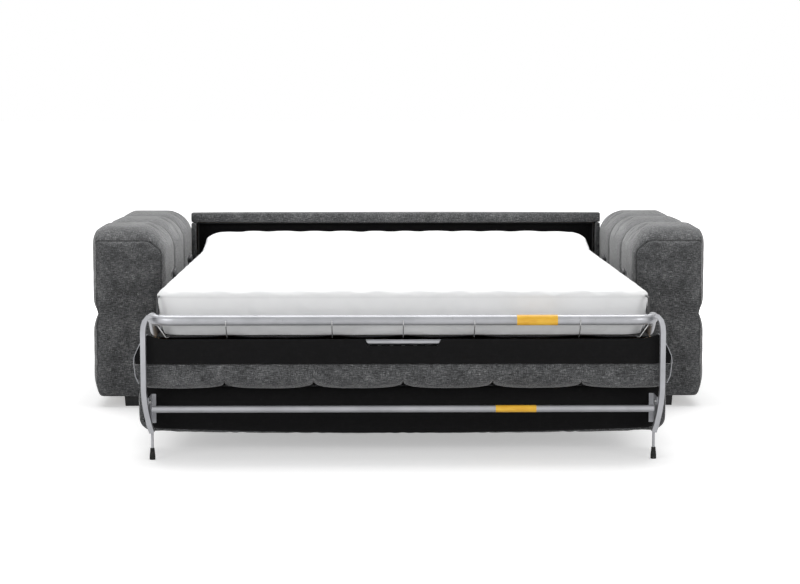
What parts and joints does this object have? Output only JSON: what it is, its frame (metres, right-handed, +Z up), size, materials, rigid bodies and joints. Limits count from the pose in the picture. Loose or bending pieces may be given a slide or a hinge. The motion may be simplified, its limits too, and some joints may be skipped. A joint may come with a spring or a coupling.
{
  "type": "sleeper sofa with fold-out bed",
  "caption": "Low two-arm sofa shown open: the upturned seat and back fold out on a steel frame over legs, with a two-part mattress laid flat from the hollow back to the foot bar",
  "frame": {"origin": "on the floor, under the middle of the open sofa's plan box", "axes": "+X to the right seen from the foot of the bed, +Y from the foot to the back, +Z up"},
  "size_m": [2.07, 2.1156, 0.608],
  "materials": {
    "grey_fabric": "melange grey woven upholstery fabric over padding",
    "wood_panel": "raw plywood and softwood, hidden",
    "black_lining": "black woven lining cloth",
    "mattress_ticking": "white quilted knitted ticking over foam",
    "silver_steel": "silver grey powder coat on steel tube",
    "plate_steel": "dark grey powder coat on steel plate",
    "bright_steel": "zinc plated steel",
    "black_rubber": "moulded black rubber",
    "black_plastic": "moulded black plastic",
    "yellow_band": "plain yellow film"
  },
  "bodies": {
    "root": {"arm_cover_right": "grey_fabric", "arm_cover_left": "grey_fabric", "arm_frame_right": "wood_panel", "arm_frame_left": "wood_panel", "feet": "black_plastic", "back_cover": "grey_fabric", "back_board": "wood_panel", "back_lining": "black_lining", "base_bar_front": "wood_panel", "base_bar_rear": "wood_panel", "wall_plate_right": "plate_steel", "wall_plate_left": "plate_steel", "main_pins": "bright_steel", "link_pins": "bright_steel", "wall_plate_screws": "bright_steel"},
    "foot_half": {"foot_frame": "silver_steel", "foot_cross_tube": "silver_steel", "foot_deck": "black_lining", "swing_plate_right": "plate_steel", "swing_plate_left": "plate_steel", "swing_plate_spacers": "plate_steel", "deck_hooks": "bright_steel", "deck_corner_hooks": "bright_steel", "mattress_loops": "plate_steel", "mattress_foot": "mattress_ticking", "leg_right": "silver_steel", "leg_left": "silver_steel", "leg_rods": "silver_steel", "leg_tips": "black_rubber", "lower_cross_tube": "silver_steel", "plain_bands": "yellow_band", "seat_base": "wood_panel", "seat_cushion": "grey_fabric", "seat_nose_pad": "grey_fabric", "grip_tube": "silver_steel", "seat_end_lining": "black_lining", "seat_blocks": "plate_steel", "backrest_cushion": "grey_fabric", "backrest_board": "wood_panel", "backrest_lining": "black_lining", "rest_bracket_right": "silver_steel", "rest_bracket_left": "silver_steel", "bracket_bolts": "bright_steel", "flap_hinge_plate": "plate_steel"},
    "head_half": {"head_frame": "silver_steel", "head_cross_tube": "silver_steel", "head_deck": "black_lining", "fold_ear_right": "plate_steel", "fold_ear_left": "plate_steel", "guide_bracket_right": "plate_steel", "guide_bracket_left": "plate_steel", "fold_pins": "bright_steel", "guide_pins": "bright_steel", "mattress_head": "mattress_ticking"},
    "guide_link_right": {"guide_link_right": "plate_steel"},
    "guide_link_left": {"guide_link_left": "plate_steel"},
    "front_flap": {"front_flap": "grey_fabric", "flap_hinge_leaf": "plate_steel"}
  },
  "joints": [
    {"name": "bed_fold", "type": "hinge", "parent": "root", "child": "foot_half", "pos_m": [0, -0.044, 0.3], "axis": [1, 0, 0], "range_deg": [-180, 0], "deforming": ["mattress_foot", "mattress_head"]},
    {"name": "head_level", "type": "hinge", "parent": "foot_half", "child": "head_half", "pos_m": [0, -0.074, 0.455], "axis": [1, 0, 0], "range_deg": [0, 180]},
    {"name": "link_swing_right", "type": "hinge", "parent": "root", "child": "guide_link_right", "pos_m": [0.758, 0.556, 0.3], "axis": [1, 0, 0], "range_deg": [-180, 0]},
    {"name": "link_swing_left", "type": "hinge", "parent": "root", "child": "guide_link_left", "pos_m": [-0.758, 0.556, 0.3], "axis": [1, 0, 0], "range_deg": [-180, 0]},
    {"name": "flap_swing", "type": "hinge", "parent": "foot_half", "child": "front_flap", "pos_m": [0, 0.049, 0.331], "axis": [1, 0, 0], "range_deg": [0, 180]}
  ],
  "couplings": [
    {"joint": "head_level", "follows": "bed_fold", "ratio": -1},
    {"joint": "link_swing_right", "follows": "bed_fold", "ratio": 1},
    {"joint": "link_swing_left", "follows": "bed_fold", "ratio": 1},
    {"joint": "flap_swing", "follows": "bed_fold", "ratio": -1}
  ]
}
